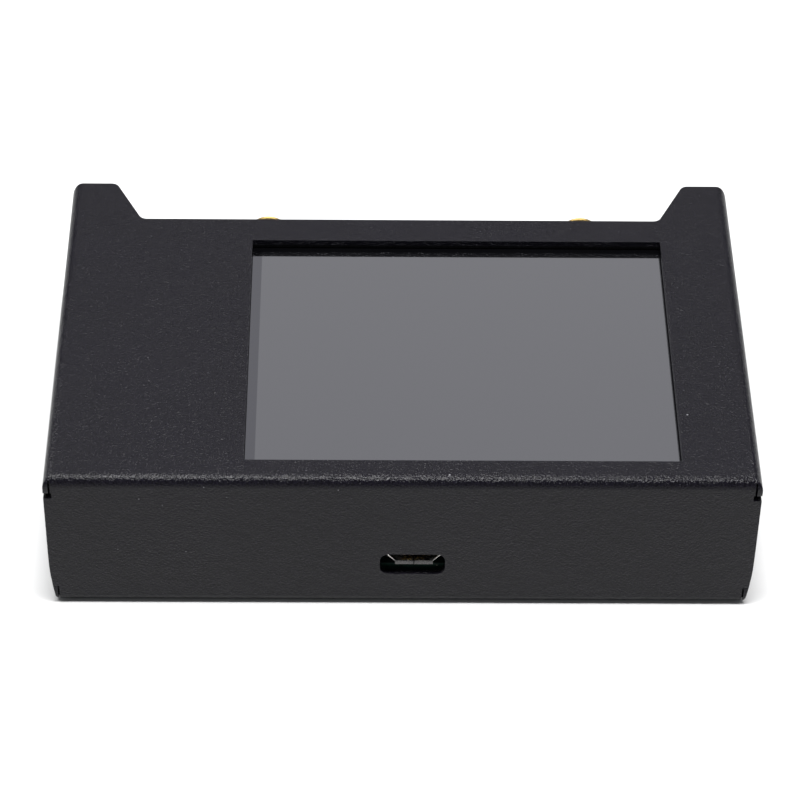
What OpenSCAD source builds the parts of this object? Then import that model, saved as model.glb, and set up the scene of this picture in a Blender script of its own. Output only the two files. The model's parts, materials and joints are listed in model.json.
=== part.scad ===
// Handheld vector network analyzer in a folded sheet-metal case.
// Frame: +X right, +Y from the USB wall to the test ports, +Z up; origin under the middle of the case.
// Inside the modules y is counted from the front wall's outer face; from_front() moves it to the frame.

/* [Case] */
// Outside width of the case
case_w = 100; // [99:0.5:104]
// Depth from the front wall to the tips of the horns
case_d = 65; // [64:0.5:68]
// Depth from the front wall to the rear wall's outer face
body_d = 56.6; // [56.4:0.1:57]
// Height of the closed case
case_h = 24.5; // [24.4:0.1:25.2]
// Sheet thickness with its powder coat
sheet = 0.9; // [0.8:0.05:0.95]
// Outside radius of the folds
fold_r = 1.6; // [1.4:0.1:1.8]
// Height of the seam between the cover's side flanges and the tray's side walls
seam_z = 20.85; // [20.4:0.05:21.2]
// Width of each horn at its tip
horn_tip_w = 6.7; // [5:0.1:8]
// Width of each horn at its root
horn_root_w = 10.9; // [9:0.1:11]

/* [Screen] */
// Width of the window in the cover
window_w = 61.2; // [58:0.2:62]
// Depth of the window in the cover
window_d = 47.5; // [44:0.1:47.6]
// Sideways offset of the window's middle
window_x = 8.4; // [7:0.1:8.6]
// Distance from the front wall to the window's near edge
window_front = 4.2; // [4:0.1:5]
// Gap between the cover's underside and the touch panel
glass_gap = 0.7; // [0.5:0.05:0.8]

/* [Ports] */
// Sideways position of test port 1
port_1_x = -20.2; // [-21:0.1:-19.6]
// Sideways position of test port 2
port_2_x = 27.9; // [27.7:0.1:28.6]
// Height of the test ports' axes
port_z = 15.45; // [15.2:0.05:15.6]
// How far the ports' mouths stay inside the horn tips
port_inset = 0.2; // [0:0.1:1]
// Sideways position of the USB socket
usb_x = 1.75; // [0:0.05:2]
// Height of the power board's top, on which the USB socket stands
power_top = 6.85; // [6.7:0.05:7]

/* [Controls] */
// Sideways position of the middle key
key_x = 4.4; // [4:0.1:5]
// Distance between the keys
key_pitch = 9; // [8:0.1:9.2]
// How far a key moves in
key_travel = 0.5; // [0.3:0.05:0.5]
// Sideways position of the power lever when off
lever_x = -33; // [-33.4:0.1:-32.6]
// Travel of the power lever from off to on
lever_travel = 2; // [1.5:0.1:2]

/* [Hidden] */
$fn = 48;

half_w = case_w / 2;
eps = 0.01;
slack = 0.02; // radial room between a part and the hole it is fixed in

// Folded case
slit_w = 0.28;
strip_w = 0.72; // width of the cover's side wall left outside each top slit
wall_half = half_w - strip_w - slit_w; // half width of the front wall between its top slits
low_half = 48.77; // half width of the front wall between its bottom slits
flange_half = half_w - 2.1; // half width of the cover's return flange
relief_h = 1; // height of the bend relief at the front end of the cover's side walls
relief_d = 1.4; // its depth
notch_z = 3.4; // top of the slits at the bottom corners
slit_top = case_h - 0.6; // top of the slits at the top corners
lean_z = 9; // below this height the side walls lean in along an arc
lean_in = 0.83; // how far they would lean in at the floor
flange_d = 8; // depth of the cover's return flange under the front wall
seam_gap = 0.12;
rear_in = body_d - sheet; // inner face of the rear wall
horn_r = 1.3; // rounding of the horns in plan
inner_top = case_h - sheet;

// Screws and threaded holes
thread_r = 1.0;
shank_r = 0.94;
hole_r = 1.15;
head_r = 1.9;
head_h = 1.3;
lip_screw_xs = [-34, 34];
lip_screw_y = 4.6;
lip_t = 0.9;
lip_z = sheet + 0.05;
lip_front = sheet + 0.8;
lip_rear = flange_d + 0.15 + sheet;
rear_screw_x = half_w - 5.5;
rear_screw_z = inner_top - 4.1;
tab_w = 6;
post_xs = [-45, 45];
post_ys = [12.5, 50];
post_af = 4.5;

// Display stack, from the touch panel down
module_w = 69.2;
module_d = 50;
module_y = window_front + window_d / 2;
touch_t = 0.7;
lcd_t = 1.0;
backlight_t = 2.5;
touch_z = inner_top - glass_gap - touch_t;
lcd_z = touch_z - lcd_t;
backlight_z = lcd_z - backlight_t;
ribbon_w = 20;
ribbon_t = 0.2;

// Test ports: the centre contact's tail lies on the main board
barrel_r = 3.175;
neck_r = 2.75; // thread root, under the washer and the nut
mouth_r = 2.33;
mouth_depth = 1.93;
insulator_r = 2.05;
contact_r = 0.635;
tail_r = 0.38;
port_tip = case_d - port_inset;
port_flange = 6.35;
flange_rear = rear_in - 0.1;
washer_t = 0.5;
nut_t = 2.0;
nut_af = 8;
nut_rear = body_d + washer_t + nut_t;

// Boards
board_t = 1.6;
board_top = port_z - tail_r;
board_z = board_top - board_t;
board_half = half_w - 1.8;
board_front = 2;
board_rear = rear_in - 1.8;
power_z = power_top - board_t;
power_front = 1.45;
power_rear = 13.6;
power_left = -28;
power_right = 26;
power_post_xs = [-26, 24];
power_post_ys = [3.7, 11.4];

// USB socket
usb_sheet = 0.25;
usb_front = 1.1;
usb_rear = 6.4;
usb_floor = power_top + usb_sheet;
usb_inner_h = 1.85;

// Board-to-board link
link_x = 13;
link_y = 10.9;
link_pitch = 2;
link_cols = 6;
header_h = 2.5;
socket_h = board_z - power_top - header_h;

// Controls on the rear wall
key_z = board_z - 2.2;
key_r = 1.75;
key_proud = 1.7;
key_stem_r = 1.2;
key_flange_front = board_rear + 0.7;
key_flange_rear = rear_in - 0.3;
lever_w = 2;
lever_h = 1.7;
lever_z = board_z - 1.8;
lever_proud = 1.6;
led_xs = [34.9, 38.1];
led_z = board_z - 0.9;

// Battery
cell_w = 60;
cell_d = 37;
cell_t = 5.5;
cell_x = 11;
cell_front = 16.5;
cell_z = sheet + 0.3;
lead_xs = [-20, -21.5];
lead_r = 0.55;
lead_z = power_top + 1.5;
lead_drop_y = 19.5;

// ---------- helpers ----------
module from_front() translate([0, -case_d / 2, 0]) children();

// A block of size w by d by h, centred on x, with its low corner at y and z
module slab(x, y, z, w, d, h) translate([x - w / 2, y, z]) cube([w, d, h]);

// Extrudes a 2D shape drawn in x and z along +Y from y
module along_y(y, length) translate([0, y + length, 0]) rotate([90, 0, 0]) linear_extrude(length) children();

// Extrudes a 2D shape drawn in y and z along X, centred on x = 0
module along_x(length) rotate([90, 0, 90]) linear_extrude(length, center = true) children();

// A cylinder or cone along +Y from y
module rod_y(x, y, z, r, length, r2 = undef)
    translate([x, y, z]) rotate([-90, 0, 0]) cylinder(r1 = r, r2 = is_undef(r2) ? r : r2, h = length);

module rounded_square(w, h, r) {
    square([w - 2 * r, h], center = true);
    square([w, h - 2 * r], center = true);
    for (x = [-1, 1], z = [-1, 1]) translate([x * (w / 2 - r), z * (h / 2 - r)]) circle(r);
}

module ring_y(x, y, z, outer, inner, length) difference() {
    rod_y(x, y, z, outer, length);
    rod_y(x, y - 1, z, inner, length + 2);
}

function unit(v) = v / norm(v);
// The arc of radius r that rounds corner p between its neighbours a and b
function corner_arc(a, p, b, r, n) =
    let (u = unit(a - p), v = unit(b - p), half = acos(u * v) / 2)
    let (centre = p + unit(u + v) * r / sin(half), cut = r / tan(half), turn = 180 - 2 * half)
    let (start = p + u * cut - centre, end = p + v * cut - centre)
    [for (i = [0:n]) centre + (start * sin((1 - i / n) * turn) + end * sin(i / n * turn)) / sin(turn)];
// A closed outline of corners [x, y, radius]
function rounded(corners, n = 6) =
    let (m = len(corners), p = [for (c = corners) [c[0], c[1]]])
    [for (i = [0:m - 1]) each corners[i][2] == 0
        ? [p[i]]
        : corner_arc(p[(i + m - 1) % m], p[i], p[(i + 1) % m], corners[i][2], n)];

// ---------- case ----------
// Outline across the case, inset by the sheet for its inside: straight sides that lean in near the floor
module case_section(inset) {
    hw = half_w - inset;
    side = [for (i = [0:4]) let (z = lean_z * (1 - i / 5)) [hw - lean_in * pow(1 - z / lean_z, 2), z, 0]];
    right = concat([[hw, case_h - inset, fold_r - inset]], side, [[hw - lean_in, inset, fold_r - inset]]);
    left = [for (i = [len(right) - 1:-1:0]) [-right[i][0], right[i][1], right[i][2]]];
    polygon(rounded(concat(right, left)));
}

// Outline from front to back: the folds of the front wall at the top and the bottom
module fold_section(inset, rear) {
    r = fold_r - inset;
    polygon(rounded([
        [inset, inset, r], [inset, case_h - inset, r], [rear, case_h - inset, 0], [rear, inset, 0]
    ]));
}

module case_body(inset) intersection() {
    along_y(inset, case_d) case_section(inset);
    along_x(case_w + 2) fold_section(inset, case_d + inset);
}

// Plan of the case with its two horns
module plan() {
    tip = half_w - horn_tip_w;
    root = half_w - horn_root_w;
    polygon(rounded([
        [-half_w, 0, 0], [half_w, 0, 0], [half_w, case_d, horn_r], [tip, case_d, horn_r],
        [root, body_d, horn_r], [-root, body_d, horn_r], [-tip, case_d, horn_r], [-half_w, case_d, horn_r]
    ]));
}

module usb_slot() translate([usb_x - 0.24, 0, power_top + 1.2])
    along_y(-1, sheet + 2) rounded_square(9.25, 3.95, 1.3);

// Hole for a countersunk screw through the floor sheet
module countersink() {
    translate([0, 0, -eps]) cylinder(r1 = head_r + 0.15, r2 = hole_r, h = sheet + eps);
    cylinder(r = hole_r, h = sheet + 0.3);
}

module top_cover() color("#34333a") from_front() difference() {
    union() {
        intersection() {
            difference() {
                case_body(0);
                case_body(sheet);
            }
            linear_extrude(case_h + 1) plan();
            union() {
                slab(0, -1, seam_z, case_w + 2, case_d + 2, case_h);
                slab(0, -1, notch_z, case_w + 2, sheet + 1, seam_z - notch_z + eps);
                slab(0, -1, -1, 2 * low_half, sheet + 1, notch_z + 1 + eps);
                slab(0, -1, -1, 2 * flange_half, flange_d + 1, notch_z + 1 + eps);
            }
        }
        // tabs behind the rear wall for the rear screws
        for (s = [-1, 1])
            slab(s * rear_screw_x, flange_rear - sheet, rear_screw_z - 3, tab_w, sheet,
                inner_top - rear_screw_z + 3 + eps);
    }
    slab(window_x, window_front, inner_top - 1, window_w, window_d, sheet + 2);
    usb_slot();
    for (s = [-1, 1])
        slab(s * (wall_half + slit_w / 2), -1, seam_z, slit_w, sheet + 1.3, slit_top - seam_z);
    for (s = [-1, 1]) slab(s * half_w, -1, seam_z, 2 * (sheet + slit_w), relief_d + 1, relief_h);
    for (x = lip_screw_xs) translate([x, lip_screw_y, 0]) countersink();
    for (s = [-1, 1]) rod_y(s * rear_screw_x, rear_in - 2, rear_screw_z, thread_r, 2.5);
}

module bottom_tray() color("#303036") from_front() difference() {
    union() {
        intersection() {
            difference() {
                along_y(0, case_d) case_section(0);
                along_y(-1, case_d + 2) case_section(sheet);
            }
            linear_extrude(seam_z - seam_gap) plan();
            along_x(case_w + 2) fold_section(0, case_d + 1);
        }
        // lip that reaches over the cover's return flange
        slab(0, lip_front, lip_z, 2 * flange_half - 3, lip_rear - lip_front, lip_t);
        slab(0, lip_rear - sheet, 0.1, 2 * flange_half - 3, sheet, lip_z + lip_t - 0.1);
        // rear wall, up to the cover's underside
        intersection() {
            along_y(rear_in, sheet) case_section(sheet - 0.05);
            slab(0, 0, 0, case_w, case_d, seam_z - seam_gap);
        }
        intersection() {
            along_y(rear_in, sheet) case_section(sheet + 0.15);
            slab(0, 0, seam_z - 1, case_w, case_d, case_h);
        }
    }
    // room for the cover's front wall, and between the bottom slits for its return flange
    slab(0, -1, notch_z - 0.05, case_w + 2, sheet + 1.05, case_h);
    slab(0, -1, -1, 2 * (flange_half + slit_w), flange_d + 1.15, lip_z + 1);
    slab(0, -1, -1, 2 * (low_half + slit_w), sheet + 1.05, case_h);
    // outside of the fold between the floor and the rear wall
    difference() {
        slab(0, body_d - fold_r, -1, 2 * (half_w - horn_root_w), fold_r + 1, fold_r + 1);
        translate([0, body_d - fold_r, fold_r]) rotate([0, 90, 0])
            cylinder(r = fold_r, h = case_w, center = true);
    }
    for (x = [port_1_x, port_2_x]) rod_y(x, rear_in - 1, port_z, barrel_r + 0.15, 3);
    for (i = [-1:1]) rod_y(key_x + i * key_pitch, rear_in - 1, key_z, key_r + 0.2, 3);
    for (x = led_xs) rod_y(x, rear_in - 1, led_z, 1.05, 3);
    for (s = [-1, 1]) rod_y(s * rear_screw_x, rear_in - 1, rear_screw_z, hole_r, 3);
    slab(lever_x + lever_travel / 2, rear_in - 1, lever_z - lever_h / 2 - 0.25,
        lever_travel + lever_w + 0.5, 3, lever_h + 0.5);
    for (x = post_xs, y = post_ys) translate([x, y, 0]) countersink();
    for (x = lip_screw_xs) translate([x, lip_screw_y, lip_z - 0.5]) cylinder(r = hole_r, h = lip_t + 1);
}

// ---------- fasteners ----------
module hex_recess(z) translate([0, 0, z]) cylinder(r = 0.75, h = 0.7, $fn = 6);

module countersunk_screw(length) difference() {
    union() {
        translate([0, 0, 0.08]) cylinder(r1 = head_r, r2 = shank_r, h = sheet - 0.08);
        translate([0, 0, sheet - eps]) cylinder(r = shank_r, h = length);
    }
    hex_recess(0);
}

// A pan-head screw whose head sits on z = 0 and whose shank points down
module pan_screw(length) difference() {
    union() {
        cylinder(r = head_r, h = head_h - 0.3);
        translate([0, 0, head_h - 0.3]) cylinder(r1 = head_r, r2 = head_r - 0.4, h = 0.3);
        translate([0, 0, -length]) cylinder(r = shank_r, h = length + eps);
    }
    hex_recess(head_h - 0.6);
}

module standoff_screws() color("#26262a") from_front()
    for (x = post_xs, y = post_ys) translate([x, y, 0]) countersunk_screw(5);

module lip_screws() color("#26262a") from_front()
    for (x = lip_screw_xs) translate([x, lip_screw_y, 0]) countersunk_screw(2.6);

module lip_nuts() color("#b9babd") from_front()
    for (x = lip_screw_xs) translate([x, lip_screw_y, lip_z + lip_t]) difference() {
        cylinder(r = 2.2, h = 1.5);
        translate([0, 0, -1]) cylinder(r = thread_r, h = 4);
    }

module rear_screws() color("#26262a") from_front()
    for (s = [-1, 1])
        translate([s * rear_screw_x, body_d, rear_screw_z]) rotate([-90, 0, 0]) pan_screw(3.2);

module board_screws() color("#b9babd") from_front()
    for (x = post_xs, y = post_ys) translate([x, y, board_top]) pan_screw(5);

module power_screws() color("#b9babd") from_front()
    for (x = power_post_xs, y = power_post_ys) translate([x, y, power_top]) pan_screw(3.4);

module standoffs() color("#c6a24e") from_front()
    for (x = post_xs, y = post_ys) translate([x, y, sheet]) difference() {
        cylinder(r = post_af / 2 / cos(30), h = board_z - sheet, $fn = 6);
        translate([0, 0, -1]) cylinder(r = thread_r, h = case_h);
    }

module power_posts() color("#b9babd") from_front()
    for (x = power_post_xs, y = power_post_ys) let (z = y < lip_rear ? lip_z + lip_t : sheet)
        translate([x, y, z]) difference() {
            cylinder(r = 1.9, h = power_z - z);
            translate([0, 0, -eps]) cylinder(r = thread_r, h = case_h);
        }

// ---------- display ----------
// A frame between two rectangles that share one middle
module frame_plate(x, y, z, w, d, inner_w, inner_d, h) difference() {
    slab(x, y - d / 2, z, w, d, h);
    slab(x, y - inner_d / 2, z - 1, inner_w, inner_d, h + 2);
}

module screen_gasket() color("#17171a") from_front()
    frame_plate(window_x, module_y, touch_z + touch_t, module_w - 0.8, module_d - 0.2,
        window_w + 0.4, window_d + 0.4, glass_gap);

module touch_panel() color("#75757d") from_front()
    slab(window_x, module_y - module_d / 2, touch_z, module_w, module_d, touch_t);

module lcd_glass() color("#5c5c66") from_front()
    slab(window_x, module_y - module_d / 2 + 0.5, lcd_z, module_w - 1.2, module_d - 1, lcd_t);

module backlight_tray() color("#c9cacc") from_front() difference() {
    slab(window_x, module_y - module_d / 2, backlight_z, module_w, module_d, backlight_t);
    slab(window_x, module_y - module_d / 2 + 1.2, backlight_z + 0.5,
        module_w - 2.4, module_d - 2.4, backlight_t);
}

module light_guide() color("#e8e8e4") from_front()
    slab(window_x, module_y - module_d / 2 + 1.4, backlight_z + 0.5,
        module_w - 2.8, module_d - 2.8, backlight_t - 0.5);

module display_pads() color("#2a2a2c") from_front()
    for (x = [-1, 1], y = [-1, 1])
        slab(window_x + x * 26, module_y + y * 15 - 4, board_top, 10, 8, backlight_z - board_top);

// The ribbon leaves the glass to the left, drops and runs into its socket
ribbon_left = window_x - module_w / 2 - 2.3;
ribbon_low = board_top + 1;
module display_ribbon() color("#a8641e") from_front() along_y(module_y - ribbon_w / 2, ribbon_w) {
    out = window_x - module_w / 2 + 0.58;
    high = lcd_z + 0.1;
    polygon(rounded([
        [out, high + ribbon_t, 0], [ribbon_left, high + ribbon_t, 1.1],
        [ribbon_left, ribbon_low + ribbon_t, 0.9],
        [ribbon_left - 4, ribbon_low + ribbon_t, 0], [ribbon_left - 4, ribbon_low, 0],
        [ribbon_left + ribbon_t, ribbon_low, 1.1], [ribbon_left + ribbon_t, high, 0.9], [out, high, 0]
    ]));
}

module ribbon_socket() color("#d8d4c6") from_front() difference() {
    slab(ribbon_left - 4.5, module_y - 12, board_top, 4.5, 24, 2);
    slab(ribbon_left - 3, module_y - ribbon_w / 2 - 0.2, ribbon_low - 0.04,
        4.5, ribbon_w + 0.4, ribbon_t + 0.08);
}

// ---------- main board ----------
module main_board() color("#10231c") from_front() difference() {
    slab(0, board_front, board_z, 2 * board_half, board_rear - board_front, board_t);
    for (x = post_xs, y = post_ys) translate([x, y, board_z - 1]) cylinder(r = hole_r, h = board_t + 2);
}

// A block that hangs under the main board
module under_board(x, y, w, d, h) slab(x, y - d / 2, board_z - h, w, d, h);

module processor_chip() color("#222226") from_front() under_board(-28, 30, 10, 10, 1.4);

module radio_chips() color("#222226") from_front()
    for (x = [port_1_x + 15, port_2_x - 15]) {
        under_board(x, 36, 4, 4, 0.9);
        under_board(x, 29, 3, 3, 0.9);
    }

fence_x = (port_1_x + port_2_x) / 2;
fence_w = 42;
fence_d = 20;
fence_h = 2;
module shield_fence() color("#c4c5c7") from_front()
    frame_plate(fence_x, 33, board_z - fence_h, fence_w, fence_d, fence_w - 0.5, fence_d - 0.5, fence_h);

module shield_lid() color("#cfd0d2") from_front() difference() {
    slab(fence_x, 33 - fence_d / 2 - 0.3, board_z - fence_h - 0.25, fence_w + 0.6, fence_d + 0.6, 1.4);
    slab(fence_x, 33 - fence_d / 2 - 0.05, board_z - fence_h, fence_w + 0.1, fence_d + 0.1, 3);
}

module reference_crystal() color("#c9cacc") from_front() under_board(-28, 40, 5, 3.2, 1.5);

// ---------- power board ----------
module power_board() color("#10231c") from_front() difference() {
    slab((power_left + power_right) / 2, power_front, power_z,
        power_right - power_left, power_rear - power_front, board_t);
    for (x = power_post_xs, y = power_post_ys)
        translate([x, y, power_z - 1]) cylinder(r = hole_r, h = board_t + 2);
}

module charger_chip() color("#222226") from_front() slab(-9, 5, power_top, 5, 4, 1.5);

module power_inductor() color("#3a3a3e") from_front() slab(-9, 9.6, power_top, 4, 4, 2);

// Cross-section of the USB socket, grown by g: wide at the top, narrow at the floor
module usb_profile(g) translate([usb_x, usb_floor]) polygon([
    [-2.72 - g / 2, -g], [2.72 + g / 2, -g], [3.45 + g, 0.85 - g / 2], [3.45 + g, usb_inner_h + g],
    [-3.45 - g, usb_inner_h + g], [-3.45 - g, 0.85 - g / 2]
]);

module usb_shell() color("#b9b6b0") from_front() difference() {
    union() {
        along_y(power_front, usb_rear - power_front) usb_profile(usb_sheet);
        along_y(usb_front, power_front - usb_front + eps) usb_profile(usb_sheet + 0.15);
    }
    along_y(usb_front - 1, 1 + power_front - usb_front) usb_profile(0.12);
    along_y(usb_front - 1, usb_rear) usb_profile(0);
}

usb_tongue_z = usb_floor + 1;
usb_contact_w = 0.28;
usb_contact_t = 0.15;
module usb_contact_grid(grow) for (i = [-2:2])
    slab(usb_x + i * 0.65, usb_front + 1.3, usb_tongue_z - usb_contact_t - grow, usb_contact_w + 2 * grow,
        usb_rear - usb_front - 1.3, usb_contact_t + grow);

module usb_tongue() color("#1a1a1c") from_front() difference() {
    union() {
        slab(usb_x, usb_front + 1.1, usb_tongue_z, 3.9, usb_rear - usb_front - 2, 0.6);
        along_y(usb_rear - 1.1, 0.7) usb_profile(-slack);
    }
    usb_contact_grid(slack);
}

module usb_contacts() color("#d8b25a") from_front() usb_contact_grid(0);

module link_socket() color("#1a1a1c") from_front() difference() {
    slab(link_x, link_y - 2, power_top, link_cols * link_pitch, 4, socket_h);
    link_grid(power_top + 0.5, socket_h, 0.3);
}

module link_header() color("#1a1a1c") from_front() difference() {
    slab(link_x, link_y - 2, board_z - header_h, link_cols * link_pitch, 4, header_h);
    link_grid(board_z - header_h - 1, header_h + 2, 0.27);
}

// Two rows of square pins or of the holes that they stand in
module link_grid(z, h, half) for (i = [0:link_cols - 1], j = [-1, 1])
    slab(link_x + (i - (link_cols - 1) / 2) * link_pitch, link_y + j * link_pitch / 2 - half, z,
        2 * half, 2 * half, h);

module link_pins() color("#d8b25a") from_front() link_grid(power_top + 1, board_z - power_top - 1, 0.25);

// ---------- test ports ----------
module port_jack(x) difference() {
    union() {
        slab(x, board_rear, port_z - port_flange / 2, port_flange, flange_rear - board_rear, port_flange);
        rod_y(x, flange_rear - eps, port_z, neck_r, nut_rear - flange_rear + 2 * eps);
        rod_y(x, nut_rear, port_z, barrel_r, port_tip - nut_rear - 0.3);
        rod_y(x, port_tip - 0.3 - eps, port_z, barrel_r, 0.3 + eps, barrel_r - 0.3);
        // legs above and below the board
        for (s = [-1, 1]) {
            slab(x + s * 2.65, board_rear - 4.2, board_top, 1, 4.2 + eps, 0.9);
            slab(x + s * 2.65, board_rear - 4.2, board_z - 0.9, 1, 4.2 + eps, 0.9);
        }
    }
    rod_y(x, board_rear - 1, port_z, insulator_r + slack, port_tip - mouth_depth - board_rear + 1 + eps);
    rod_y(x, port_tip - mouth_depth, port_z, mouth_r, mouth_depth + 1);
}

module port_insulator(x)
    ring_y(x, board_rear, port_z, insulator_r, contact_r + slack, port_tip - mouth_depth - board_rear);

module port_contact(x) difference() {
    union() {
        rod_y(x, board_rear - 3.4, port_z, tail_r - eps, 3.4 + eps);
        rod_y(x, board_rear, port_z, contact_r, port_tip - mouth_depth - board_rear);
    }
    rod_y(x, port_tip - mouth_depth - 3, port_z, 0.46, 4);
}

module port_washer(x) ring_y(x, body_d, port_z, 4.3, barrel_r + slack, washer_t);

module port_nut(x) difference() {
    translate([x, nut_rear - nut_t, port_z]) rotate([-90, 0, 0])
        cylinder(r = nut_af / 2 / cos(30), h = nut_t, $fn = 6);
    rod_y(x, nut_rear - nut_t - 1, port_z, neck_r + slack, nut_t + 2);
}

module port_1_jack() color("#d2a84c") from_front() port_jack(port_1_x);
module port_1_insulator() color("#f1efe8") from_front() port_insulator(port_1_x);
module port_1_contact() color("#d2a84c") from_front() port_contact(port_1_x);
module port_1_washer() color("#c99f45") from_front() port_washer(port_1_x);
module port_1_nut() color("#c99f45") from_front() port_nut(port_1_x);
module port_2_jack() color("#d2a84c") from_front() port_jack(port_2_x);
module port_2_insulator() color("#f1efe8") from_front() port_insulator(port_2_x);
module port_2_contact() color("#d2a84c") from_front() port_contact(port_2_x);
module port_2_washer() color("#c99f45") from_front() port_washer(port_2_x);
module port_2_nut() color("#c99f45") from_front() port_nut(port_2_x);

// ---------- controls ----------
module power_switch_frame() color("#bfc0c2") from_front() difference() {
    under_board(lever_x + lever_travel / 2, board_rear - 1.75, 9, 3.5, 3.6);
    // cavity that the slider's foot runs in, and the slot that its lever comes out of
    slab(lever_x + lever_travel / 2, board_rear - 2.8, lever_z - 1.2, lever_travel + 3.4, 2, 2.4);
    slab(lever_x + lever_travel / 2, board_rear - 1, lever_z - lever_h / 2 - 0.15,
        lever_travel + lever_w + 0.4, 2, lever_h + 0.3);
}

module power_switch_lever() color("#1c1c1f") from_front() {
    slab(lever_x, board_rear - 2.65, lever_z - 1.05, 3, 1.65, 2.1);
    slab(lever_x, board_rear - 1.1, lever_z - lever_h / 2,
        lever_w, body_d + lever_proud - board_rear + 1.1, lever_h);
}

module key_switch(x) difference() {
    under_board(x, board_rear - 1.75, 6, 3.5, 4);
    rod_y(x, board_rear - 1.2, key_z, key_stem_r + 0.15, 2);
}

module key_cap(x) {
    rod_y(x, board_rear - 0.5, key_z, key_stem_r, key_flange_front - board_rear + 0.5 + eps);
    rod_y(x, key_flange_front, key_z, key_r + 0.6, key_flange_rear - key_flange_front);
    rod_y(x, key_flange_rear - eps, key_z, key_r, body_d + key_proud - 0.3 - key_flange_rear + eps);
    rod_y(x, body_d + key_proud - 0.3 - eps, key_z, key_r, 0.3 + eps, key_r - 0.3);
}

module key_left_switch() color("#c9cacc") from_front() key_switch(key_x - key_pitch);
module key_middle_switch() color("#c9cacc") from_front() key_switch(key_x);
module key_right_switch() color("#c9cacc") from_front() key_switch(key_x + key_pitch);
module key_left_cap() color("#1c1c1f") from_front() key_cap(key_x - key_pitch);
module key_middle_cap() color("#1c1c1f") from_front() key_cap(key_x);
module key_right_cap() color("#1c1c1f") from_front() key_cap(key_x + key_pitch);

module status_leds() color("#e9e6da") from_front()
    for (x = led_xs) under_board(x, board_rear - 0.6, 1.6, 1.2, 1.6);

module light_pipes() color("#dfe3e6") from_front() for (x = led_xs) {
    rod_y(x, board_rear + 0.3, led_z, 1.4, rear_in - board_rear - 0.3);
    rod_y(x, rear_in - eps, led_z, 1.0, sheet + 0.2);
}

// ---------- battery ----------
module battery_cell() color("#b8babd") from_front() translate([cell_x, 0, cell_z + cell_t / 2])
    along_y(cell_front, cell_d) rounded_square(cell_w, cell_t, 1.4);

module battery_board() color("#c28a2c") from_front()
    slab(cell_x - cell_w / 2 - 1.6, cell_front + 1, cell_z + 1, 3, cell_d - 2, 3.4);

module battery_pad() color("#e7e5dc") from_front()
    slab(cell_x, cell_front + 3, sheet, cell_w - 8, cell_d - 6, cell_z - sheet);

battery_plug_x = (lead_xs[0] + lead_xs[1]) / 2;
module battery_socket() color("#ece8dc") from_front() difference() {
    slab(battery_plug_x, power_rear - 4.5, power_top, 6, 4.4, 3);
    slab(battery_plug_x, power_rear - 3.5, power_top + 0.45, 4.9, 5, 2.1);
}

module battery_plug() color("#f2efe6") from_front()
    slab(battery_plug_x, power_rear - 3.4, power_top + 0.5, 4.8, 5.2, 2);

module battery_leads() color("#b02a24") from_front() for (x = lead_xs) {
    plug_rear = power_rear + 1.8;
    board_high = cell_z + 4.4;
    rod_y(x, plug_rear, lead_z, lead_r, lead_drop_y - plug_rear);
    translate([x, lead_drop_y, lead_z]) sphere(lead_r + 0.05);
    translate([x, lead_drop_y, board_high]) cylinder(r = lead_r, h = lead_z - board_high);
}

top_cover();
bottom_tray();
standoff_screws();
lip_screws();
lip_nuts();
rear_screws();
screen_gasket();
touch_panel();
lcd_glass();
light_guide();
backlight_tray();
display_pads();
display_ribbon();
ribbon_socket();
main_board();
board_screws();
standoffs();
processor_chip();
radio_chips();
shield_fence();
shield_lid();
reference_crystal();
power_board();
power_posts();
power_screws();
charger_chip();
power_inductor();
usb_shell();
usb_tongue();
usb_contacts();
link_socket();
link_header();
link_pins();
port_1_jack();
port_1_insulator();
port_1_contact();
port_1_washer();
port_1_nut();
port_2_jack();
port_2_insulator();
port_2_contact();
port_2_washer();
port_2_nut();
power_switch_frame();
power_switch_lever();
key_left_switch();
key_middle_switch();
key_right_switch();
key_left_cap();
key_middle_cap();
key_right_cap();
status_leds();
light_pipes();
battery_cell();
battery_board();
battery_pad();
battery_socket();
battery_plug();
battery_leads();
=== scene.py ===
"""Handheld network analyzer: a folded, coated case with a recessed screen, built over its CAD frame."""

import json
import math
import random
from contextlib import contextmanager

import bpy
from bpy.props import FloatProperty, FloatVectorProperty, IntProperty, PointerProperty
from mathutils import Euler, Matrix, Vector

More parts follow.
